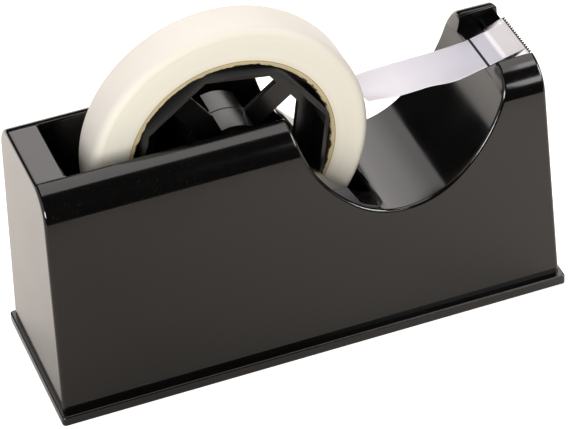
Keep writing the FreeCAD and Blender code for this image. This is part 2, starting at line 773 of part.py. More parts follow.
def make_blade():
    """Bent sheet: a flange pressed in its slot, a sloping plate and the toothed edge."""
    body = new_body("blade")
    profile = new_sketch(body, "blade_profile", "XZ_Plane")
    under_bend = seat_height("blade_bend")
    under_tip = f"({under_bend} + blade_rise)"
    outline(profile, (
        ("seat_rear - blade_sheet", "seat_low - slot_depth"),
        ("seat_rear", "seat_low - slot_depth"),
        ("seat_rear", "seat_low"),
        ("blade_bend", under_bend),
        ("blade_tip", under_tip),
        ("blade_tip - bend_shift", f"{under_tip} + blade_sheet"),
        ("blade_bend - bend_shift", f"{under_bend} + blade_sheet"),
        ("seat_rear", "seat_low + blade_sheet"),
        ("seat_rear - blade_sheet", "seat_low + blade_sheet - bend_shift"),
    ))
    pad(body, profile, "blade_width", "blade_sheet_metal", both_ways=True)
    notch = new_sketch(body, "tooth_notch", "XY_Plane", "seat_low")
    start = "-blade_width / 2"
    spread = "(tooth_pitch - tooth_flat) / 2 * (tooth_depth + cut_over) / tooth_depth"
    outline(notch, (
        ("blade_tip + cut_over", f"{start} - {spread}"),
        ("blade_tip - tooth_depth", start),
        ("blade_tip + cut_over", f"{start} + {spread}"),
    ))
    cut = pocket(body, notch, "rim_height - seat_low", "first_notch", reverse=True)
    row = body.newObject("PartDesign::LinearPattern", "tooth_row")
    row.Originals = [cut]
    row.Direction = (plane_of(body, "Y_Axis"), [""])
    bind(row, "Length", "tooth_count * tooth_pitch")
    bind(row, "Occurrences", "tooth_count + 1")
    body.Tip = row
    document.recompute()
    return body


def make_strip():
    """Free end of the tape: from beside the roll over the ridge to the teeth."""
    body = new_body("tape_strip")
    profile = new_sketch(body, "strip_profile", "XZ_Plane")
    over_seat = f"({seat_height('blade_bend')} + blade_sheet)"
    tip_rise = "blade_rise * (strip_end - blade_bend + bend_shift) / (blade_tip - blade_bend)"
    path = (
        ("strip_start", "strip_height"),
        ("strip_bend", "strip_height + strip_rise"),
        ("ridge_rear - bend_shift", "ridge_low + tape_clear"),
        ("ridge_front", "ridge_high + tape_clear"),
        ("blade_bend - bend_shift", f"{over_seat} + tape_clear"),
        ("strip_end", f"{over_seat} + {tip_rise} + tape_clear"),
    )
    above = [(across, f"{up} + tape_sheet") for across, up in reversed(path)]
    outline(profile, path + tuple(above))
    pad(body, profile, "tape_width", "strip_sheet", both_ways=True)
    return body


# ---------------------------------------------------------------------------------------
# Roll: axle, two hub halves, paper core and tape
# ---------------------------------------------------------------------------------------
def make_axle():
    """Plain steel pin with chamfered ends."""
    body = new_body("axle")
    disc = new_sketch(body, "axle_end", "XZ_Plane")
    circle(disc, "axle_radius", "axle_x", "axle_height")
    bar = pad(body, disc, "axle_length", "axle_bar", both_ways=True)
    ends = edges_where(bar, lambda p: abs(abs(p.y) - SIZE["axle_length"] / 2) < NEAR)
    chamfer(body, bar, ends, "axle_chamfer", "axle_chamfers")
    return body


def octagon(sketch, inradius, first_angle="hub_turn"):
    """Octagon about the sketch's origin. Its first side faces first_angle."""
    corners = []
    for i in range(8):
        angle = f"({first_angle} + {22.5 + 45 * i}) * 1deg"
        reach = f"({inradius}) / cos(22.5deg)"
        corners.append((f"{reach} * cos({angle})", f"{reach} * sin({angle})"))
    outline(sketch, corners)


def turned(across, up, angle):
    """A point of a sketch, turned about the origin by an angle in degrees."""
    swing = f"(({angle}) * 1deg)"
    return (f"({across}) * cos{swing} - ({up}) * sin{swing}",
            f"({across}) * sin{swing} + ({up}) * cos{swing}")


def make_hub_half(name, sign):
    """Half of the moulded hub. sign is -1 for the near half and +1 for the far half.

    The half has an eight-sided drum wall, a web with four spokes and windows, a sleeve for
    the axle, and four tapering grips that take a roll with a small core.
    """
    body = new_body("hub_half_" + name)
    outward = sign > 0

    rim = new_sketch(body, name + "_drum", "XZ_Plane")
    octagon(rim, "hub_inradius")
    drum = pad(body, rim, "hub_half_width", name + "_drum_block", reverse=outward)
    corners = edges_where(drum, is_drum_corner)
    fillet(body, drum, corners, "hub_corner", name + "_drum_corners")
    inside = new_sketch(body, name + "_drum_inside", "XZ_Plane",
                        "-hub_web" if outward else "hub_web")
    octagon(inside, "hub_inradius - hub_wall")
    pocket(body, inside, "hub_half_width", name + "_drum_space", reverse=not outward)

    window = new_sketch(body, name + "_window", "XZ_Plane")
    root, turn = "spoke_half", "hub_turn"
    inner_up = "sqrt(grip_radius ^ 2 - spoke_half ^ 2)"
    bend = "(window_diagonal * sqrt(2) - window_side)"
    outline(window, (
        turned(inner_up, root, turn) + ("grip_radius", 1),
        turned(root, inner_up, turn),
        turned(root, "window_side", turn),
        turned(bend, "window_side", turn),
        turned("window_side", bend, turn),
        turned("window_side", root, turn),
    ))
    cut = pocket(body, window, "hub_web", name + "_first_window", reverse=not outward)
    around_axis(body, [cut], "Y_Axis", 4, name + "_windows")

    ring = new_sketch(body, name + "_grip_ring", "XZ_Plane")
    circle(ring, "grip_radius")
    circle(ring, "grip_radius - grip_wall")
    pad(body, ring, "hub_half_width", name + "_grips", reverse=outward)
    gap = new_sketch(body, name + "_grip_gap", "YZ_Plane")
    gap.AttachmentOffset = Placement(Vector(0, 0, 0), Rotation(Vector(1, 0, 0), -SIZE["hub_turn"]))
    bind(gap, "AttachmentOffset.Rotation.Angle", "-hub_turn * 1deg")
    outline(gap, (
        (f"{sign} * hub_web", "-grip_gap / 2"),
        (f"{sign} * (hub_half_width + cut_over)", "-grip_gap / 2"),
        (f"{sign} * (hub_half_width + cut_over)", "grip_gap / 2"),
        (f"{sign} * hub_web", "grip_gap / 2"),
    ))
    cut = pocket(body, gap, "grip_radius + cut_over", name + "_first_gap", reverse=True)
    around_axis(body, [cut], "Y_Axis", 4, name + "_grip_gaps")

    sleeve = new_sketch(body, name + "_sleeve_end", "XZ_Plane")
    circle(sleeve, "sleeve_radius")
    pad(body, sleeve, "sleeve_end", name + "_sleeve", reverse=outward)
    bore = new_sketch(body, name + "_bore_end", "XZ_Plane")
    circle(bore, "axle_radius + axle_play")
    pocket(body, bore, "sleeve_end + cut_over", name + "_bore", reverse=not outward)
    bind(body, "Placement.Base.x", "axle_x")
    bind(body, "Placement.Base.z", "axle_height")
    return body


def is_drum_corner(point):
    """True along the eight corners of the drum, measured in the hub's own frame."""
    reach = SIZE["hub_inradius"] / math.cos(math.radians(22.5))
    return abs(math.hypot(point.x, point.z) - reach) < NEAR


def make_ring(label, inner, outer):
    """Ring about the axle, as wide as the tape."""
    body = new_body(label)
    section = new_sketch(body, label + "_section", "XZ_Plane")
    circle(section, outer, "axle_x", "axle_height")
    circle(section, inner, "axle_x", "axle_height")
    pad(body, section, "tape_width", label + "_ring", both_ways=True)
    return body


# ---------------------------------------------------------------------------------------
# Build, check and write every piece
# ---------------------------------------------------------------------------------------
pieces = [make_housing(), make_base_plate(), make_ballast(), make_screws(), make_blade(),
          make_strip(), make_axle(), make_hub_half("near", -1), make_hub_half("far", 1),
          make_ring("paper_core", "core_inner", "core_outer"),
          make_ring("tape_roll", "core_outer", "roll_outer")]
pieces += [make_foot(name, across, along) for name, across, along in FOOT_PLACES]
document.recompute()

for thing in document.Objects:
    if "Invalid" in thing.State or "Error" in thing.State:
        raise RuntimeError(thing.Name + " failed to build")
for piece in pieces:
    if piece.Shape.isNull() or not piece.Shape.isValid():
        raise RuntimeError(piece.Label + " has no valid shape")

os.makedirs(OUT_FOLDER, exist_ok=True)
for piece in pieces:
    piece.Shape.exportStep(os.path.join(OUT_FOLDER, piece.Label + ".step"))
    box = piece.Shape.BoundBox
    print(piece.Label, len(piece.Shape.Solids), "solids",
          round(piece.Shape.Volume / 1000, 2), "cm3",
          [round(c, 2) for c in (box.XMin, box.XMax, box.YMin, box.YMax, box.ZMin, box.ZMax)])
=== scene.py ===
# %% [markdown]
# # A weighted desk tape dispenser
# This notebook dresses a finished CAD model of a bench-top tape dispenser. The CAD solids
# stay where they are. Each chapter looks at one piece or one finish of the real object, says
# how it could be made in Blender, and then makes it. All sizes are metres, +X points to the
# cutting blade, +Y to the far side and +Z up.

# %% Load the CAD frame
import json
import math

import bmesh
import bpy
from mathutils import Matrix, Vector


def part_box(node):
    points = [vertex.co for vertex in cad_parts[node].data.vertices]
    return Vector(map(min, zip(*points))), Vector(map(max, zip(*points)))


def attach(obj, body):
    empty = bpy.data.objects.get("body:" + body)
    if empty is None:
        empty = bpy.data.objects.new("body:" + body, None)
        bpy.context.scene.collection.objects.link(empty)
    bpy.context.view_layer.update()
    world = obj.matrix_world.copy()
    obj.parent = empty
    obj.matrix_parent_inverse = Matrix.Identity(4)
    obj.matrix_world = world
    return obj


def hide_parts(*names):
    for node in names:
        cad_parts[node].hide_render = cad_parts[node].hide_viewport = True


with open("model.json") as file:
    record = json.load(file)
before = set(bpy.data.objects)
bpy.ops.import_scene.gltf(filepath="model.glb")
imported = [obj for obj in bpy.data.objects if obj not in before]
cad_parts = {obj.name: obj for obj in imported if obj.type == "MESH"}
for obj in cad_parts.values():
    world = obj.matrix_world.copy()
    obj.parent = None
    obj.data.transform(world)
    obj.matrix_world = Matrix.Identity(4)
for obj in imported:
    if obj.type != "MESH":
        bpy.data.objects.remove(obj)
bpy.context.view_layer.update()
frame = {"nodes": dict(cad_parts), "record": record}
MM = 0.001

# %% [markdown]
# ## Places that later cells need
# A piece that is modelled here has to sit where the CAD put it, so its place comes from the
# CAD boxes and not from new numbers. The roll is a body of revolution, so the middle of its
# box is its axis.

# %% Read the axle and the roll from the frame
roll_low, roll_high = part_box("tape_roll")
AXIS = (roll_low + roll_high) / 2
ROLL_RADIUS = (roll_high.x - roll_low.x) / 2
CORE_RADIUS = (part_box("paper_core")[1].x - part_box("paper_core")[0].x) / 2
TAPE_HALF = (roll_high.y - roll_low.y) / 2
print("axis", tuple(round(c, 4) for c in AXIS), "roll radius", round(ROLL_RADIUS, 4))

# %% [markdown]
# ## The camera
# A long lens from far away keeps the verticals nearly parallel, as a catalogue view has them.
# The camera stands to the left, in front and above, and leans by a few degrees. It could be
# aimed with a Track To constraint, but a matrix built from azimuth, elevation and roll says
# the same in one place and needs no helper object.

# %% Aim the camera
AZIMUTH, ELEVATION, ROLL = math.radians(-17.86), math.radians(37.50), math.radians(-4.29)
CAMERA_DISTANCE = 1.2136
CAMERA_TARGET = Vector((0.00125, 0.0, 0.04195))
back = Vector((math.sin(AZIMUTH) * math.cos(ELEVATION),
               -math.cos(AZIMUTH) * math.cos(ELEVATION),
               math.sin(ELEVATION)))
level_right = Vector((0, 0, 1)).cross(back).normalized()
level_up = back.cross(level_right)
right = level_right * math.cos(ROLL) + level_up * math.sin(ROLL)
up = level_up * math.cos(ROLL) - level_right * math.sin(ROLL)

camera_data = bpy.data.cameras.new("product_camera")
camera_data.sensor_fit = "HORIZONTAL"
camera_data.sensor_width, camera_data.lens = 36.0, 203.47
camera = bpy.data.objects.new("product_camera", camera_data)
camera.matrix_world = Matrix.Translation(CAMERA_TARGET + back * CAMERA_DISTANCE) @ Matrix(
    (right, up, back)).transposed().to_4x4()
bpy.context.scene.collection.objects.link(camera)
bpy.context.scene.camera = camera
bpy.context.scene.view_settings.view_transform = "Standard"
print("camera at", tuple(round(c, 3) for c in camera.location))

# %% [markdown]
# ## Writing shader maths as Python
# A node tree for a surface that varies is mostly arithmetic. Adding each Math node by hand
# buries the idea, so one small class wraps a socket and turns `+`, `-` and `*` into Math
# nodes. The reflected forms let a plain number stand on the left, as in `1 - mask`.

# %% A socket that understands arithmetic
class Wire:
    """One output socket of a node tree, with arithmetic that adds Math nodes."""

    def __init__(self, tree, socket):
        self.tree = tree
        self.socket = socket

    def math(self, operation, other=None):
        node = self.tree.nodes.new("ShaderNodeMath")
        node.operation = operation
        for slot, value in enumerate((self, other)):
            if isinstance(value, Wire):
                self.tree.links.new(value.socket, node.inputs[slot])
            elif value is not None:
                node.inputs[slot].default_value = value
        return Wire(self.tree, node.outputs[0])

    def __add__(self, other):
        return self.math("ADD", other)

    def __sub__(self, other):
        return self.math("SUBTRACT", other)

    def __mul__(self, other):
        return self.math("MULTIPLY", other)

    def __rsub__(self, other):
        return (self * -1).math("ADD", other)

    __radd__ = __add__
    __rmul__ = __mul__


print("a wire can be added, subtracted and multiplied")

# %% [markdown]
# Every other node is made by one method, which takes the node's type, its settings and the
# values or wires of its sockets. It serves any tree: a finish, a lamp, the world or the floor.
# `Finish` is such a tree with the Principled shader that most materials end in.

# %% A tree that makes and wires its own nodes
class Tree:
    """A node tree under construction."""

    def __init__(self, tree):
        self.tree = tree

    def add(self, kind, settings=None, output=0, **sockets):
        """Add any node: its settings first, then values or wires of its sockets.

        output is the name or the number of the socket that the wire comes from.
        """
        node = self.tree.nodes.new(kind)
        for name, value in (settings or {}).items():
            setattr(node, name, value)
        for name, value in sockets.items():
            self.feed(node.inputs[name.replace("_", " ")], value)
        return Wire(self.tree, node.outputs[output])

    def feed(self, socket, value):
        if isinstance(value, Wire):
            self.tree.links.new(value.socket, socket)
        else:
            socket.default_value = value

    def split(self, vector):
        """The three parts of a vector wire."""
        node = self.tree.nodes.new("ShaderNodeSeparateXYZ")
        self.feed(node.inputs[0], vector)
        return [Wire(self.tree, out) for out in node.outputs]

    def place(self):
        """The surface point in metres, as a vector wire and as its X, Y and Z."""
        spot = self.add("ShaderNodeTexCoord", output="Object")
        return spot, self.split(spot)

    def noise(self, spot, per_metre, detail=2.0):
        return self.add("ShaderNodeTexNoise", {"noise_dimensions": "3D"},
                        Vector=spot, Scale=per_metre, Detail=detail)

    def rings(self, radius, per_metre, detail):
        """Noise that changes only with the distance from the axle."""
        return self.add("ShaderNodeTexNoise", {"noise_dimensions": "1D"},
                        W=radius, Scale=per_metre, Detail=detail)

    def mix(self, share, first, second):
        """Blend two colours by a wire from 0 to 1."""
        node = self.tree.nodes.new("ShaderNodeMix")
        node.data_type = "RGBA"
        for index, value in ((0, share), (6, first), (7, second)):
            self.feed(node.inputs[index], value)
        return Wire(self.tree, node.outputs[2])

    def ramp(self, value, low, high, to_low=0.0, to_high=1.0):
        return self.add("ShaderNodeMapRange", {"clamp": True}, Value=value, From_Min=low,
                        From_Max=high, To_Min=to_low, To_Max=to_high)

    def bump(self, height, depth, strength=1.0):
        """Turn a height wire into a normal. depth is the relief in metres."""
        return self.add("ShaderNodeBump", Height=height, Distance=depth, Strength=strength)


class Finish(Tree):
    """A Principled material under construction."""

    def __init__(self, name, **constants):
        self.material = bpy.data.materials.new(name)
        self.material.use_nodes = True
        super().__init__(self.material.node_tree)
        self.shader = self.tree.nodes["Principled BSDF"]
        for socket, value in constants.items():
            self.shader.inputs[socket.replace("_", " ")].default_value = value

    def drive(self, **inputs):
        for name, wire in inputs.items():
            self.feed(self.shader.inputs[name.replace("_", " ")], wire)
        return self.material


print("shader helpers ready")

# %% [markdown]
# ## Black moulded plastic
# The housing is injection-moulded in black plastic. Its mould was spark-eroded a little, so
# the skin is glossy but not a mirror: reflections have soft, slightly mottled edges. Pure
# black with a noisy bump would look like leather, so the relief is kept to a few microns and
# the roughness wanders a little over centimetres, as it does on a handled piece. Fine specks
# of dark grey stand for the dust and scuffs that sit in the grain. The base is rougher than
# the housing.

# %% Make the moulded plastic finishes
PLASTIC_BLACK, PLASTIC_SHADE = (0.002, 0.0018, 0.0017, 1), (0.003, 0.0027, 0.00255, 1)
SPECK_GREY = (0.018, 0.017, 0.016, 1)
GRAIN_PER_METRE, CLOUDS_PER_METRE = 1400.0, 35.0


def moulded_plastic(name, roughness, relief):
    finish = Finish(name, IOR=1.5)
    spot, _ = finish.place()
    cloud = finish.noise(spot, CLOUDS_PER_METRE, 3.0)
    grain = finish.noise(spot, GRAIN_PER_METRE)
    specks = finish.ramp(grain, 0.62, 0.8)
    black = finish.mix(cloud, PLASTIC_BLACK, PLASTIC_SHADE)
    return finish.drive(
        Base_Color=finish.mix(specks, black, SPECK_GREY),
        Roughness=finish.ramp(cloud, 0.3, 0.7, roughness - 0.03, roughness + 0.04),
        Normal=finish.bump(grain, relief),
    )


HOUSING_BLACK = moulded_plastic("housing_black", 0.12, 5e-6)
BASE_BLACK = moulded_plastic("base_black", 0.20, 8e-6)
print("plastic finishes", HOUSING_BLACK.name, BASE_BLACK.name)

# %% [markdown]
# The hub is moulded in two halves that meet in the middle of the roll. The joint shows as a
# hairline round the boss. It could be a groove in the mesh, but a dark line across the middle
# plane, with a little relief, is enough at this size. The outside of the drum is left rough,
# so that it grips the card core.

# %% Make the hub's plastic with its hairline joint
SEAM_HALF = 0.16 * MM
DRUM_FLATS = 35.7 * MM


def distance_from_axle(finish):
    """Wires for the distance from the axle, the surface point, and its Y."""
    spot, (x, y, z) = finish.place()
    dx, dz = x - AXIS.x, z - AXIS.z
    return (dx * dx + dz * dz).math("SQRT"), spot, y


def hub_plastic():
    finish = Finish("hub_black", IOR=1.5)
    radius, spot, y = distance_from_axle(finish)
    cloud = finish.noise(spot, 60.0, 3.0)
    seam = finish.ramp(y.math("ABSOLUTE"), SEAM_HALF, 2 * SEAM_HALF, 1.0, 0.0)
    outside = finish.ramp(radius, DRUM_FLATS, DRUM_FLATS + 0.1 * MM)
    black = finish.mix(cloud, (0.004, 0.0037, 0.0034, 1), (0.007, 0.0065, 0.006, 1))
    return finish.drive(
        Base_Color=finish.mix(seam, black, (0, 0, 0, 1)),
        Roughness=finish.ramp(cloud, 0.3, 0.7, 0.19, 0.26) + seam * 0.6 + outside * 0.6,
        Normal=finish.bump(seam * -1, 1e-4),
    )


HUB_BLACK = hub_plastic()
print("hub finish", HUB_BLACK.name)

# %% [markdown]
# ## Wound tape
# A roll of tape seen from the side is the edge of hundreds of turns of film. Light goes into
# it, so it looks creamy, a little darker where the turns lie tight on the core. The tread is
# one smooth layer of film and looks paler. Rings could be modelled, but at a twentieth of a
# millimetre they are finer than any mesh should be: a noise that depends only on the distance
# from the axle draws them instead.

# %% Make the wound tape finish
def wound_tape():
    finish = Finish("wound_tape", Roughness=0.55, IOR=1.45, Specular_IOR_Level=0.3)
    radius, spot, y = distance_from_axle(finish)
    turns, bands = finish.rings(radius, 4200.0, 3.0), finish.rings(radius, 500.0, 1.0)
    flank = finish.ramp(y.math("ABSOLUTE"), TAPE_HALF - 1.8 * MM, TAPE_HALF - 0.1 * MM)
    cream = finish.mix(bands, (0.79, 0.74, 0.61, 1), (0.86, 0.815, 0.70, 1))
    cream = finish.mix(turns, cream, (0.84, 0.79, 0.66, 1))
    tight = finish.ramp(radius, CORE_RADIUS, CORE_RADIUS + 2 * MM, 0.25, 0.0)
    cream = finish.mix(tight, cream, (0.66, 0.56, 0.36, 1))
    tread = finish.mix(finish.noise(spot, 60.0), (0.74, 0.69, 0.62, 1), (0.78, 0.735, 0.67, 1))
    return finish.drive(
        Base_Color=finish.mix(flank, tread, cream),
        Normal=finish.bump(turns * flank, 2e-5, 0.5),
    )


WOUND_TAPE = wound_tape()
print("wound tape finish", WOUND_TAPE.name)

# %% [markdown]
# ## Card
# The core is brown card, wound from strips and sawn from a long tube. Its ends show the plies
# as fine rings, the outer ply is darker, and the inner edge is frayed and nearly black. The
# plies use the same ring noise as the tape. The frayed part is a ramp over the radius, pushed
# in and out by a coarse noise.

# %% Make the card finish
CORE_WALL = 2.3 * MM
CORE_INNER = CORE_RADIUS - CORE_WALL
FRAY_LOW, FRAY_HIGH, FRAY_WANDER = 1.8 * MM, 2.1 * MM, 2.6 * MM


def wound_card():
    finish = Finish("core_card", Roughness=0.85)
    radius, spot, _ = distance_from_axle(finish)
    fibres = finish.noise(spot, 900.0, 4.0)
    scallops = finish.noise(spot, 380.0, 3.0)
    plies = finish.rings(radius, 2600.0, 1.0)
    brown = finish.mix(plies, (0.46, 0.36, 0.17, 1), (0.74, 0.62, 0.36, 1))
    brown = finish.mix(fibres * 0.25, brown, (0.16, 0.11, 0.06, 1))
    outer_ply = finish.ramp(radius, CORE_RADIUS - 0.4 * MM, CORE_RADIUS - 0.1 * MM)
    brown = finish.mix(outer_ply * 0.8, brown, (0.22, 0.15, 0.07, 1))
    frayed = finish.ramp(radius + scallops * FRAY_WANDER, CORE_INNER + FRAY_LOW,
                         CORE_INNER + FRAY_HIGH, 1.0, 0.0)
    brown = finish.mix(frayed, brown, (0.035, 0.022, 0.012, 1))
    return finish.drive(Base_Color=brown, Normal=finish.bump(fibres, 2e-4, 0.8))


CORE_CARD = wound_card()
print("card finish", CORE_CARD.name, "inner radius", round(CORE_INNER, 5))

# %% [markdown]
# ## Steel
# The axle, the screws and the blade are rolled steel. Rolling leaves a grain that runs one
# way, so the noise is drawn out along Y by scaling its coordinates unevenly. The teeth of the
# blade have a steep grind and mirror dark surroundings, with shade in their gaps: a step to a
# painted near-black colour at their roots stands in for that dark reflection and shade.

# %% Make the steel finishes
TOOTH_DEPTH = 1.3 * MM
ROOT_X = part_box("blade")[1].x - TOOTH_DEPTH
FINE_GRAIN, LONG_GRAIN = 3000.0, 60.0


def rolled_steel(name, dull, bright, roughness, painted_shade_from=None):
    """Steel with a rolled grain. Past the X of its last argument, a painted near-black stands
    for the teeth's dark reflection and shade.
    """
    finish = Finish(name, Metallic=1.0)
    _, (x, y, z) = finish.place()
    streak = finish.add("ShaderNodeCombineXYZ", X=x * FINE_GRAIN, Y=y * LONG_GRAIN,
                        Z=z * FINE_GRAIN)
    grain = finish.noise(streak, 1.0)
    colour = finish.mix(grain, (dull, dull, dull, 1), (bright, bright, bright, 1))
    if painted_shade_from:
        # Painted shade and dark reflection: beyond this X the teeth are coloured nearly black.
        painted_tooth_shade = finish.ramp(x, painted_shade_from, painted_shade_from + 0.2 * MM)
        colour = finish.mix(painted_tooth_shade, colour, (0.02, 0.02, 0.02, 1))
    return finish.drive(
        Base_Color=colour,
        Roughness=finish.ramp(grain, 0.3, 0.7, roughness - 0.08, roughness + 0.08),
    )


STEEL = rolled_steel("rolled_steel", 0.60, 0.72, 0.30)
BLADE_STEEL = rolled_steel("blade_steel", 0.52, 0.62, 0.32, painted_shade_from=ROOT_X)
print("steel finishes", STEEL.name, BLADE_STEEL.name, "tooth roots at", round(ROOT_X, 5))

# %% [markdown]
# ## Rubber and iron
# The feet are matt rubber with a fine grain. The ballast is cast iron with the skin of its
# sand mould. It can't be seen in the closed dispenser, but it can in an exploded view.

# %% Make the rubber and iron finishes
def matt_rubber():
    finish = Finish("foot_rubber", Roughness=0.8)
    spot, _ = finish.place()
    grain = finish.noise(spot, 2500.0)
    return finish.drive(
        Base_Color=finish.mix(grain, (0.02, 0.02, 0.02, 1), (0.045, 0.045, 0.045, 1)),
        Normal=finish.bump(grain, 3e-5),
    )


def cast_iron():
    finish = Finish("cast_iron", Metallic=0.6)
    spot, _ = finish.place()
    grain = finish.noise(spot, 1200.0, 4.0)
    return finish.drive(
        Base_Color=finish.mix(grain, (0.10, 0.095, 0.09, 1), (0.22, 0.21, 0.20, 1)),
        Roughness=finish.ramp(grain, 0.2, 0.8, 0.55, 0.8),
        Normal=finish.bump(grain, 2e-4),
    )


RUBBER, IRON = matt_rubber(), cast_iron()
print("more finishes", RUBBER.name, IRON.name)

# %% [markdown]
# ## Frosted film
# The free tape is frosted film with a cool tint. Real transparency would take its look from
# whatever lies behind it, so that look is painted into the colour along X instead, and stays:
# whitest near the roll and over the blade, greyer where it spans the dark scoop. Painted shade
# draws one sharp line where it creases over the ridge, and a painted highlight one pale line
# where it folds onto the blade; both edges carry a painted highlight too.

# %% Make the film finish
CREASE_X, CREASE_SHADE_HALF = 0.0821, 0.42 * MM
FOLD_X, FOLD_HIGHLIGHT_HALF = 0.0888, 0.3 * MM
SPAN_START, SPAN_END = 0.048, 0.078
SEAT_START, SEAT_END = 0.088, 0.0895


def frosted_film():
    finish = Finish("frosted_film", IOR=1.45)
    spot, (x, y, _) = finish.place()
    cloud = finish.noise(spot, 90.0, 3.0)
    # Painted see-through: greyer where the dark scoop lies behind the film, whiter over the
    # blade.
    span = finish.mix(finish.ramp(x, SPAN_START, SPAN_END), (0.61, 0.585, 0.625, 1),
                      (0.385, 0.375, 0.435, 1))
    seat = finish.mix(finish.ramp(x, SEAT_START, SEAT_END), (0.385, 0.38, 0.435, 1),
                      (0.50, 0.475, 0.485, 1))
    film = finish.mix(finish.ramp(x, CREASE_X, CREASE_X + 0.1 * MM), span, seat)
    film = finish.mix(cloud * 0.15, film, (0.62, 0.60, 0.66, 1))
    # Painted shade: a dark line where the film creases over the ridge.
    crease_shade = finish.ramp((x - CREASE_X).math("ABSOLUTE"), CREASE_SHADE_HALF, CREASE_SHADE_HALF + 0.14 * MM,
                         1.0, 0.0)
    # Painted highlight: a pale line where the film folds onto the blade.
    fold_highlight = finish.ramp((x - FOLD_X).math("ABSOLUTE"), FOLD_HIGHLIGHT_HALF, FOLD_HIGHLIGHT_HALF + 1 * MM, 1.0, 0.0)
    film = finish.mix(fold_highlight * 0.7, film, (0.78, 0.77, 0.78, 1))
    # Painted highlight along both edges of the film.
    side = finish.ramp(y.math("ABSOLUTE"), TAPE_HALF - 0.7 * MM, TAPE_HALF - 0.3 * MM)
    film = finish.mix(side * 0.7, film, (0.80, 0.79, 0.81, 1))
    return finish.drive(
        Base_Color=finish.mix(crease_shade, film, (0.006, 0.006, 0.009, 1)),
        Roughness=finish.ramp(crease_shade, 0.0, 1.0, 0.32, 0.95),
        Normal=finish.bump(cloud, 5e-5, 0.4),
    )


FILM = frosted_film()
print("film finish", FILM.name)

# %% [markdown]
# ## Dressing the CAD pieces
# Moulded and turned pieces already have their real shape. Their meshes are loose triangles,
# though, and shade as facets. A copy is merged and shaded smooth, with its edges kept sharp
# and its normals weighted by area, so that flat faces stay flat beside their roundings. Every
# piece, merged or newly modelled, then goes through the same last step: its modifiers become
# mesh, and it takes the body and the place of the CAD node that it stands for.

# %% Let a piece stand for a CAD node
BODY_OF = {node: body for body, nodes in frame["record"]["behaviour"]["bodies"].items()
           for node in nodes}


def dress(piece, material, node):
    """Bake a piece, give it its finish, and let it stand for a CAD node."""
    graph = bpy.context.evaluated_depsgraph_get()
    mesh = bpy.data.meshes.new_from_object(piece.evaluated_get(graph))
    mesh.name = piece.name
    mesh.materials.clear()
    mesh.materials.append(material)
    piece.modifiers.clear()
    piece.data = mesh
    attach(piece, BODY_OF[node])
    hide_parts(node)


# %% Merge and smooth a copy of each CAD piece
WELD = 0.002 * MM
FLAT_ANGLE, SHARP_ANGLE, HOUSING_SHARP_ANGLE = (math.radians(d) for d in (0.2, 32.0, 50.0))


def smooth_copy(node, material):
    """Dress a merged, smoothly shaded copy of a CAD node."""
    mesh = frame["nodes"][node].data.copy()
    soup = bmesh.new()
    soup.from_mesh(mesh)
    bmesh.ops.remove_doubles(soup, verts=soup.verts, dist=WELD)
    bmesh.ops.dissolve_limit(soup, angle_limit=FLAT_ANGLE, verts=soup.verts, edges=soup.edges)
    soup.to_mesh(mesh)
    soup.free()
    mesh.shade_smooth()
    mesh.set_sharp_from_angle(angle=HOUSING_SHARP_ANGLE if node == "housing" else SHARP_ANGLE)
    piece = bpy.data.objects.new(node + "_skin", mesh)
    bpy.context.scene.collection.objects.link(piece)
    weighted = piece.modifiers.new("weighted", "WEIGHTED_NORMAL")
    weighted.keep_sharp = True
    dress(piece, material, node)


FINISHES = {
    "housing": HOUSING_BLACK, "base_plate": BASE_BLACK, "ballast_block": IRON,
    "base_screws": STEEL, "axle": STEEL, "hub_half_near": HUB_BLACK,
    "hub_half_far": HUB_BLACK, "foot_front_near": RUBBER, "foot_front_far": RUBBER,
    "foot_rear_near": RUBBER, "foot_rear_far": RUBBER,
}
for node, material in FINISHES.items():
    smooth_copy(node, material)
print("dressed", len(FINISHES), "CAD pieces")

# %% [markdown]
# ## The roll and its card core
# Both are bodies of revolution. A lathe is the natural way to make them: a closed profile is
# swept round the axle. The profile of the tape has softly rounded edges, because the turns
# never line up perfectly.

# %% Sweep a profile round the axle
LATHE_SHARP_ANGLE = math.radians(40)


def lathe(name, profile, steps, ragged=None):
    """Sweep (radius, y, loose) points. ragged(angle, y) moves the loose ones outwards."""
    rings = bmesh.new()
    grid = []
    for step in range(steps):
        angle = 2 * math.pi * step / steps
        ring = []
        for radius, y, loose in profile:
            reach = radius + (ragged(angle, y) if loose else 0.0)
            ring.append(rings.verts.new((AXIS.x + reach * math.cos(angle), AXIS.y + y,
                                         AXIS.z + reach * math.sin(angle))))
        grid.append(ring)
    for step in range(steps):
        here, after = grid[step], grid[(step + 1) % steps]
        for i in range(len(profile)):
            j = (i + 1) % len(profile)
            rings.faces.new((here[i], here[j], after[j], after[i]))
    bmesh.ops.recalc_face_normals(rings, faces=rings.faces)
    mesh = bpy.data.meshes.new(name)
    rings.to_mesh(mesh)
    rings.free()
    mesh.shade_smooth()
    mesh.set_sharp_from_angle(angle=LATHE_SHARP_ANGLE)
    piece = bpy.data.objects.new(name, mesh)
    bpy.context.scene.collection.objects.link(piece)
    return piece


print("the lathe keeps edges sharp from", round(math.degrees(LATHE_SHARP_ANGLE)), "degrees")

# %% Wind the roll of tape
EDGE_ROUND, EDGE_POINTS, ROLL_STEPS = 3.4 * MM, 9, 192


def rounded_edge(radius, half, rounding):
    """Profile points round one edge of a ring, from the flank to the tread."""
    corner = []
    for i in range(EDGE_POINTS):
        turn = math.pi / 2 * i / (EDGE_POINTS - 1)
        corner.append((radius - rounding * (1 - math.sin(turn)),
                       half - rounding * (1 - math.cos(turn)), False))
    return corner


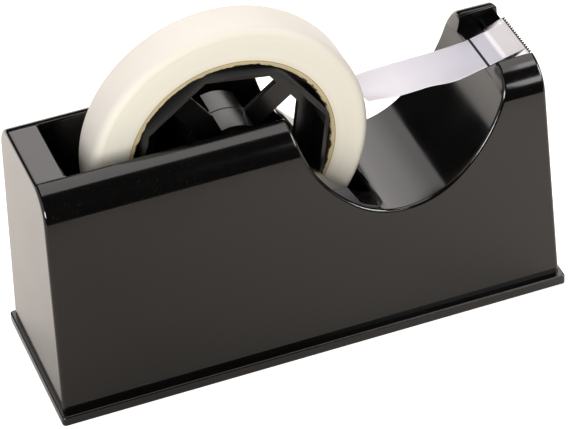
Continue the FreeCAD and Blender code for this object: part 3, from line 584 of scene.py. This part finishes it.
far_edge = rounded_edge(ROLL_RADIUS, TAPE_HALF, EDGE_ROUND)
near_edge = [(radius, -y, loose) for radius, y, loose in reversed(far_edge)]
flank_in = [(CORE_RADIUS, -TAPE_HALF, False), (CORE_RADIUS, TAPE_HALF, False)]
roll = lathe("wound_roll", flank_in + far_edge + near_edge, ROLL_STEPS)
dress(roll, WOUND_TAPE, "tape_roll")
print("roll faces", len(roll.data.polygons))

# %% [markdown]
# The saw leaves the inner edge of the core ragged. A slow and a fast wave along the sweep
# imitate that without any random numbers. Only the two inner corners of the profile move.

# %% Saw the card core
TEAR, TEAR_DEPTH, CORE_STEPS = 1.0 * MM, 1.5 * MM, 360


def torn_edge(angle, y):
    """How far the sawn inner edge is torn back at an angle round the core."""
    slow = 0.5 + 0.5 * math.sin(5 * angle + 1.3) * math.sin(11 * angle + 0.4)
    fast = 0.5 + 0.5 * math.sin(53 * angle + y * 900) * math.sin(31 * angle + 2.0)
    return TEAR * (0.25 + 0.45 * slow + 0.3 * fast)


core_profile = [(CORE_INNER, -TAPE_HALF, True), (CORE_INNER, -TAPE_HALF + TEAR_DEPTH, False),
                (CORE_INNER, TAPE_HALF - TEAR_DEPTH, False), (CORE_INNER, TAPE_HALF, True),
                (CORE_RADIUS, TAPE_HALF, False), (CORE_RADIUS, -TAPE_HALF, False)]
core = lathe("card_core", core_profile, CORE_STEPS, torn_edge)
dress(core, CORE_CARD, "paper_core")
print("core faces", len(core.data.polygons))

# %% [markdown]
# ## The free end of the tape
# The tape leaves the roll, crosses the scoop, bends over the platform's ridge and lies on the
# blade. It isn't flat: its near edge rises at the roll and droops over the scoop, and its far
# edge lifts a little in between. A grid that follows the CAD strip gets this as a formula, so
# the tape still rests where the CAD rests it. A cloth simulation would also do, but this tape
# is stiff and short, and its few soft bends are quicker to say than to simulate.

# %% Find the way of the tape and its soft bends
strip_spots = sorted({(round(v.co.x, 5), round(v.co.z, 5))
                      for v in frame["nodes"]["tape_strip"].data.vertices})
FILM_START = strip_spots[0][0]
NEAR_RISE, NEAR_DROOP, FAR_LIFT = 1.5 * MM, 1.5 * MM, 1.1 * MM
DROOP_X, LIFT_X = 0.069, 0.046
RISE_REACH, DROOP_REACH, LIFT_REACH = 0.012, 0.013, 0.030


def film_height(x):
    """Lower side of the CAD strip at a place along the length, carried on past its end."""
    under = strip_spots[::2]
    for (x0, z0), (x1, z1) in zip(under, under[1:]):
        if x <= x1:
            break
    return z0 + (z1 - z0) * (x - x0) / (x1 - x0)


def hump(x, middle, reach):
    """A smooth bump of height 1 that dies out at reach from its middle."""
    away = min(abs(x - middle) / reach, 1.0)
    return 0.5 + 0.5 * math.cos(math.pi * away)


def film_lift(x, across):
    """How far the edges leave the flat strip. across runs from -1, near, to 1, far."""
    near = (NEAR_RISE * hump(x, FILM_START, RISE_REACH)
            - NEAR_DROOP * hump(x, DROOP_X, DROOP_REACH))
    far = FAR_LIFT * hump(x, LIFT_X, LIFT_REACH)
    return near * max(-across, 0.0) ** 2 + far * max(across, 0.0) ** 1.5


print("the tape runs through", strip_spots[::2])

# %% Lay the film
FILM_ROWS, FILM_COLUMNS, FILM_THICK = 90, 24, 0.12 * MM
film_mesh = bpy.data.meshes.new("free_film")
spots, faces = [], []
for row in range(FILM_ROWS + 1):
    x = FILM_START + (ROOT_X - FILM_START) * row / FILM_ROWS
    for column in range(FILM_COLUMNS + 1):
        across = 2 * column / FILM_COLUMNS - 1
        spots.append((x, across * TAPE_HALF, film_height(x) + film_lift(x, across)))
for row in range(FILM_ROWS):
    for column in range(FILM_COLUMNS):
        at = row * (FILM_COLUMNS + 1) + column
        faces.append((at, at + FILM_COLUMNS + 1, at + FILM_COLUMNS + 2, at + 1))
film_mesh.from_pydata(spots, [], faces)
film_mesh.shade_smooth()
film = bpy.data.objects.new("free_film", film_mesh)
bpy.context.scene.collection.objects.link(film)
thicken = film.modifiers.new("thicken", "SOLIDIFY")
thicken.thickness, thicken.offset = FILM_THICK, 1.0
dress(film, FILM, "tape_strip")
print("film from", round(FILM_START, 4), "to", round(ROOT_X, 4))

# %% [markdown]
# ## The blade
# The cutting edge is a row of equal pointed teeth, which is what Geometry Nodes are for: one
# tooth, a line of points, and an instance on each. The sheet behind them is the CAD blade,
# cut off at the roots of its own teeth.

# %% Cut the sheet off at the tooth roots
TIP_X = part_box("blade")[1].x
sheet_mesh = frame["nodes"]["blade"].data.copy()
sheet = bmesh.new()
sheet.from_mesh(sheet_mesh)
bmesh.ops.remove_doubles(sheet, verts=sheet.verts, dist=WELD)
tip_heights = [v.co.z for v in sheet.verts if v.co.x > TIP_X - 0.3 * MM]
TIP_LOW, TIP_HIGH = min(tip_heights), max(tip_heights)
cut = bmesh.ops.bisect_plane(sheet, geom=sheet.verts[:] + sheet.edges[:] + sheet.faces[:],
                             plane_co=(ROOT_X, 0, 0), plane_no=(1, 0, 0), clear_outer=True)
rim = [e for e in cut["geom_cut"] if isinstance(e, bmesh.types.BMEdge)]
root_heights = [v.co.z for v in cut["geom_cut"] if isinstance(v, bmesh.types.BMVert)]
ROOT_LOW, ROOT_HIGH = min(root_heights), max(root_heights)
bmesh.ops.holes_fill(sheet, edges=rim)
sheet.to_mesh(sheet_mesh)
sheet.free()
blade = bpy.data.objects.new("toothed_blade", sheet_mesh)
bpy.context.scene.collection.objects.link(blade)
print("roots from", ROOT_LOW, "to", ROOT_HIGH, "tips from", TIP_LOW, "to", TIP_HIGH)

# %% Grind one tooth
TOOTH_PITCH, TIP_LEAN = 1.5 * MM, 0.2 * MM
tooth_mesh = bpy.data.meshes.new("tooth")
root_corners = [(ROOT_X, y, z) for z in (ROOT_LOW, ROOT_HIGH)
                for y in (-TOOTH_PITCH / 2, TOOTH_PITCH / 2)]
tip_corners = [(TIP_X, 0, TIP_LOW), (TIP_X - TIP_LEAN, 0, TIP_HIGH)]
tooth_mesh.from_pydata(root_corners + tip_corners, [], [(0, 2, 3, 1), (0, 1, 4), (2, 5, 3),
                                                        (0, 4, 5, 2), (1, 3, 5, 4)])
tooth = bpy.data.objects.new("tooth", tooth_mesh)
bpy.context.scene.collection.objects.link(tooth)
print("tooth faces", len(tooth_mesh.polygons))

# %% [markdown]
# The row is centred on the blade: its first tooth sits half the pitch times one less than
# the count to the near side. The tree works that out from its own inputs.

# %% Set the teeth in a row with Geometry Nodes
tooth_row = bpy.data.node_groups.new("tooth_row", "GeometryNodeTree")
for label, kind in (("Sheet", "Geometry"), ("Tooth", "Object"), ("Count", "Int"),
                    ("Pitch", "Float"), ("Finish", "Material")):
    tooth_row.interface.new_socket(label, in_out="INPUT", socket_type="NodeSocket" + kind)
tooth_row.interface.new_socket("Blade", in_out="OUTPUT", socket_type="NodeSocketGeometry")


def row_node(kind, **settings):
    node = tooth_row.nodes.new(kind)
    for name, value in settings.items():
        setattr(node, name, value)
    return node


given, out = row_node("NodeGroupInput"), row_node("NodeGroupOutput")
shape = row_node("GeometryNodeObjectInfo")
line = row_node("GeometryNodeMeshLine", mode="OFFSET")
gaps = row_node("ShaderNodeMath", operation="SUBTRACT")
half = row_node("ShaderNodeMath", operation="MULTIPLY")
start = row_node("ShaderNodeMath", operation="MULTIPLY")
first, apart = row_node("ShaderNodeCombineXYZ"), row_node("ShaderNodeCombineXYZ")
copies = row_node("GeometryNodeInstanceOnPoints")
joined = row_node("GeometryNodeJoinGeometry")
real = row_node("GeometryNodeRealizeInstances")
finished = row_node("GeometryNodeSetMaterial")
gaps.inputs[1].default_value = 1.0
half.inputs[1].default_value = -0.5
wires = (
    (given.outputs["Tooth"], shape.inputs["Object"]),
    (given.outputs["Count"], line.inputs["Count"]),
    (given.outputs["Pitch"], apart.inputs["Y"]),
    (given.outputs["Pitch"], half.inputs[0]),
    (half.outputs[0], start.inputs[0]),
    (given.outputs["Count"], gaps.inputs[0]),
    (gaps.outputs[0], start.inputs[1]),
    (start.outputs[0], first.inputs["Y"]),
    (first.outputs[0], line.inputs["Start Location"]),
    (apart.outputs[0], line.inputs["Offset"]),
    (line.outputs[0], copies.inputs["Points"]),
    (shape.outputs["Geometry"], copies.inputs["Instance"]),
    (copies.outputs[0], joined.inputs[0]),
    (given.outputs["Sheet"], joined.inputs[0]),
    (joined.outputs[0], real.inputs[0]),
    (real.outputs[0], finished.inputs["Geometry"]),
    (given.outputs["Finish"], finished.inputs["Material"]),
    (finished.outputs[0], out.inputs[0]),
)
for source, target in wires:
    tooth_row.links.new(source, target)
print("row tree", len(tooth_row.nodes), "nodes")

# %% Put the row on the blade
TOOTH_COUNT = 17
teeth = blade.modifiers.new("tooth_row", "NODES")
teeth.node_group = tooth_row
inputs = {item.name: item.identifier for item in tooth_row.interface.items_tree
          if item.in_out == "INPUT"}
for label, value in (("Tooth", tooth), ("Count", TOOTH_COUNT), ("Pitch", TOOTH_PITCH),
                     ("Finish", BLADE_STEEL)):
    teeth[inputs[label]] = value
dress(blade, BLADE_STEEL, "blade")
bpy.data.objects.remove(tooth)
print("blade faces", len(blade.data.polygons))

# %% [markdown]
# ## Light
# Black gloss is lit by what it mirrors, not by how much light falls on it. Soft boxes behind
# and above put the pale sheen on the level rims and in the scoop. The rear box fades towards
# one end, as cloth in front of a lamp does, so that the sheen in the scoop fades too. Four
# small boxes only show in gloss: they draw the bright lines on the rounded edges of the scoop
# and the ears, and the sheen on top of the near ear. A broad fill from the camera's side
# lights the tape and the card, and is hidden from reflections, so that the black stays black.

# %% Make a soft box, and one that fades
WARM_WHITE = (1.0, 0.95, 0.94)


def soft_box(name, place, aim, width, height, watts, seen_in_gloss=True, seen_in_matt=True,
             tint=(1, 1, 1)):
    """A rectangular lamp at a place, turned to a point."""
    data = bpy.data.lights.new(name, "AREA")
    data.shape, data.color = "RECTANGLE", tint
    data.size, data.size_y, data.energy = width, height, watts
    lamp = bpy.data.objects.new(name, data)
    direction = Vector(aim) - Vector(place)
    lamp.matrix_world = Matrix.Translation(place) @ direction.to_track_quat(
        "-Z", "Y").to_matrix().to_4x4()
    lamp.visible_glossy, lamp.visible_diffuse = seen_in_gloss, seen_in_matt
    bpy.context.scene.collection.objects.link(lamp)
    return lamp


def fade_across(lamp, start, end, far_share):
    """Dim a soft box along its width, from full light at start to far_share at end."""
    lamp.data.use_nodes = True
    glow = Tree(lamp.data.node_tree)
    across, _, _ = glow.split(glow.add("ShaderNodeNewGeometry", output="Parametric"))
    glow.feed(glow.tree.nodes["Emission"].inputs["Strength"],
              glow.ramp(across, start, end, 1.0, far_share))


print("soft boxes can be tinted", WARM_WHITE)

# %% Hang the soft boxes
rear = soft_box("rear_soft_box", (0.244, 1.137, 1.02), (0.124, -0.013, 0.1), 1.70, 0.70, 11.2,
                tint=WARM_WHITE)
fade_across(rear, 0.54, 0.84, 0.64)
soft_box("overhead_soft_box", (0.3, 0.20, 1.25), (0.3, 0.20, 0), 0.95, 1.02, 7.6,
         tint=WARM_WHITE)
soft_box("front_fill", (-0.70, -1.15, 0.45), (0, 0, 0.08), 1.2, 0.8, 13.0, seen_in_gloss=False)
soft_box("ear_top_sheen", (0.47, -0.19, 1.24), (0.47, -0.19, 0), 0.20, 0.36, 0.85,
         seen_in_matt=False, tint=WARM_WHITE)
soft_box("ear_strip", (0.42, -0.55, 0.35), (0.09, -0.03, 0.09), 0.42, 0.20, 1.6,
         seen_in_matt=False)
soft_box("right_edge_light", (0.95, -0.35, 0.60), (0, 0, 0.06), 0.45, 0.60, 16.0,
         seen_in_matt=False)
soft_box("left_edge_light", (-0.80, -0.88, 0.24), (0, 0, 0.06), 0.50, 0.36, 14.0,
         seen_in_matt=False)

# %% [markdown]
# ## A white room
# The background is fully white for the camera and in reflections, and half as strong where it
# lights matt surfaces, which fills the shadows that the soft boxes leave. The Light Path node
# says what kind of ray is asking.

# %% Paint the room white
ROOM_FILL = 0.5
world = bpy.data.worlds.new("studio")
bpy.context.scene.world = world
world.use_nodes = True
sky = Tree(world.node_tree)
seen, mirrored, through = (sky.add("ShaderNodeLightPath", output=ray) for ray in
                           ("Is Camera Ray", "Is Glossy Ray", "Is Transmission Ray"))
background = world.node_tree.nodes["Background"]
sky.feed(background.inputs["Color"], (1, 1, 1, 1))
fully_white = seen.math("MAXIMUM", mirrored).math("MAXIMUM", through)
sky.feed(background.inputs["Strength"], fully_white.math("MAXIMUM", ROOM_FILL))
print("room", world.name)

# %% [markdown]
# ## Black flags
# A glossy black object is kept black with flags: black cloths that hang where the camera
# would see the white room mirrored. Here they stand in front, behind, above and low in front
# of the floor. They only exist for reflections, so they throw no shadow. The left side and a
# low slit on the right stay open and show the white room.

# %% Hang the black flags
FLOOR_FRONT, FAR_OUT, SLIT_TOP, UNDER_FLOOR = -0.17, 2.5, 0.5, -0.001
FLAG_GLOW = 0.012


def sheet_corners(low, high):
    """Corners of a flat sheet between two opposite corners, which share one coordinate."""
    first, second = (axis for axis in range(3) if low[axis] != high[axis])
    corners = [list(low) for _ in range(4)]
    corners[1][first] = corners[2][first] = high[first]
    corners[2][second] = corners[3][second] = high[second]
    return corners


flag_sheets = (
    sheet_corners((-FAR_OUT, -FAR_OUT, 0), (FAR_OUT, -FAR_OUT, FAR_OUT)),
    sheet_corners((-FAR_OUT, FAR_OUT, 0), (FAR_OUT, FAR_OUT, FAR_OUT)),
    sheet_corners((-FAR_OUT, -FAR_OUT, FAR_OUT), (FAR_OUT, FAR_OUT, FAR_OUT)),
    sheet_corners((-FAR_OUT, -FAR_OUT, UNDER_FLOOR), (FAR_OUT, FLOOR_FRONT, UNDER_FLOOR)),
    sheet_corners((FAR_OUT, -FAR_OUT, SLIT_TOP), (FAR_OUT, FAR_OUT, FAR_OUT)),
)
flag_mesh = bpy.data.meshes.new("black_flags")
flag_mesh.from_pydata([corner for sheet in flag_sheets for corner in sheet], [],
                      [tuple(range(4 * i, 4 * i + 4)) for i in range(len(flag_sheets))])


def bare_material(name):
    """A material with an empty tree."""
    material = bpy.data.materials.new(name)
    material.use_nodes = True
    material.node_tree.nodes.clear()
    return material, Tree(material.node_tree)


def end_in(nodes, shader):
    """Let a material's tree end in a shader."""
    out = nodes.tree.nodes.new("ShaderNodeOutputMaterial")
    nodes.feed(out.inputs["Surface"], shader)


cloth, nodes = bare_material("flag_cloth")
end_in(nodes, nodes.add("ShaderNodeEmission", Strength=FLAG_GLOW))
flag_mesh.materials.append(cloth)
flags = bpy.data.objects.new("black_flags", flag_mesh)
bpy.context.scene.collection.objects.link(flags)
flags.visible_camera = flags.visible_diffuse = flags.visible_shadow = False
flags.visible_transmission = flags.visible_volume_scatter = False
print("flags hung", len(flag_sheets))

# %% [markdown]
# ## Floor
# The floor is pale and keeps the shadow of the dispenser. The camera sees it with a glow that
# takes it to white. In reflections it glows by a share that grows to the right and towards
# the back, which is what gives the black sides their soft change from left to right.

# %% Paint the floor
# Each fade holds where it starts and ends, in metres, and its value at both.
FRONT_FADE, DEEP_FADE = (-0.06, 0.13, 0.0, 0.45), (0.0, 0.28, 0.3, 0.95)
BEHIND_FADE = (-0.035, 0.0, 0.0, 1.0)
FLOOR_GLOW = 0.8


def pale_floor():
    material, nodes = bare_material("pale_floor")
    _, (x, y, _) = nodes.place()
    front, deep = nodes.ramp(x, *FRONT_FADE), nodes.ramp(y, *DEEP_FADE)
    behind = nodes.ramp(y, *BEHIND_FADE)
    in_gloss = front + (deep - front) * behind
    seen = nodes.add("ShaderNodeLightPath", output="Is Camera Ray")
    mirrored = nodes.add("ShaderNodeLightPath", output="Is Glossy Ray")
    paint = nodes.add("ShaderNodeBsdfDiffuse", Color=(0.78, 0.72, 0.66, 1))
    glow = nodes.add("ShaderNodeEmission", Strength=seen * FLOOR_GLOW + mirrored * in_gloss,
                     Color=nodes.mix(seen, (1.0, 0.95, 0.90, 1), (1, 1, 1, 1)))
    both = nodes.tree.nodes.new("ShaderNodeAddShader")
    for socket, shader in zip(both.inputs, (paint, glow)):
        nodes.feed(socket, shader)
    end_in(nodes, Wire(nodes.tree, both.outputs[0]))
    return material


FLOOR_PAINT = pale_floor()
print("floor finish", FLOOR_PAINT.name)

# %% Lay the floor
FLOOR_TOP, FLOOR_SIDE, FLOOR_BACK = -0.1 * MM, 1.2, 1.4
floor_mesh = bpy.data.meshes.new("floor")
floor_mesh.from_pydata(sheet_corners((-FLOOR_SIDE, FLOOR_FRONT, FLOOR_TOP),
                                     (FLOOR_SIDE, FLOOR_BACK, FLOOR_TOP)), [], [(0, 1, 2, 3)])
floor_mesh.materials.append(FLOOR_PAINT)
floor = bpy.data.objects.new("floor", floor_mesh)
bpy.context.scene.collection.objects.link(floor)
print("floor laid")
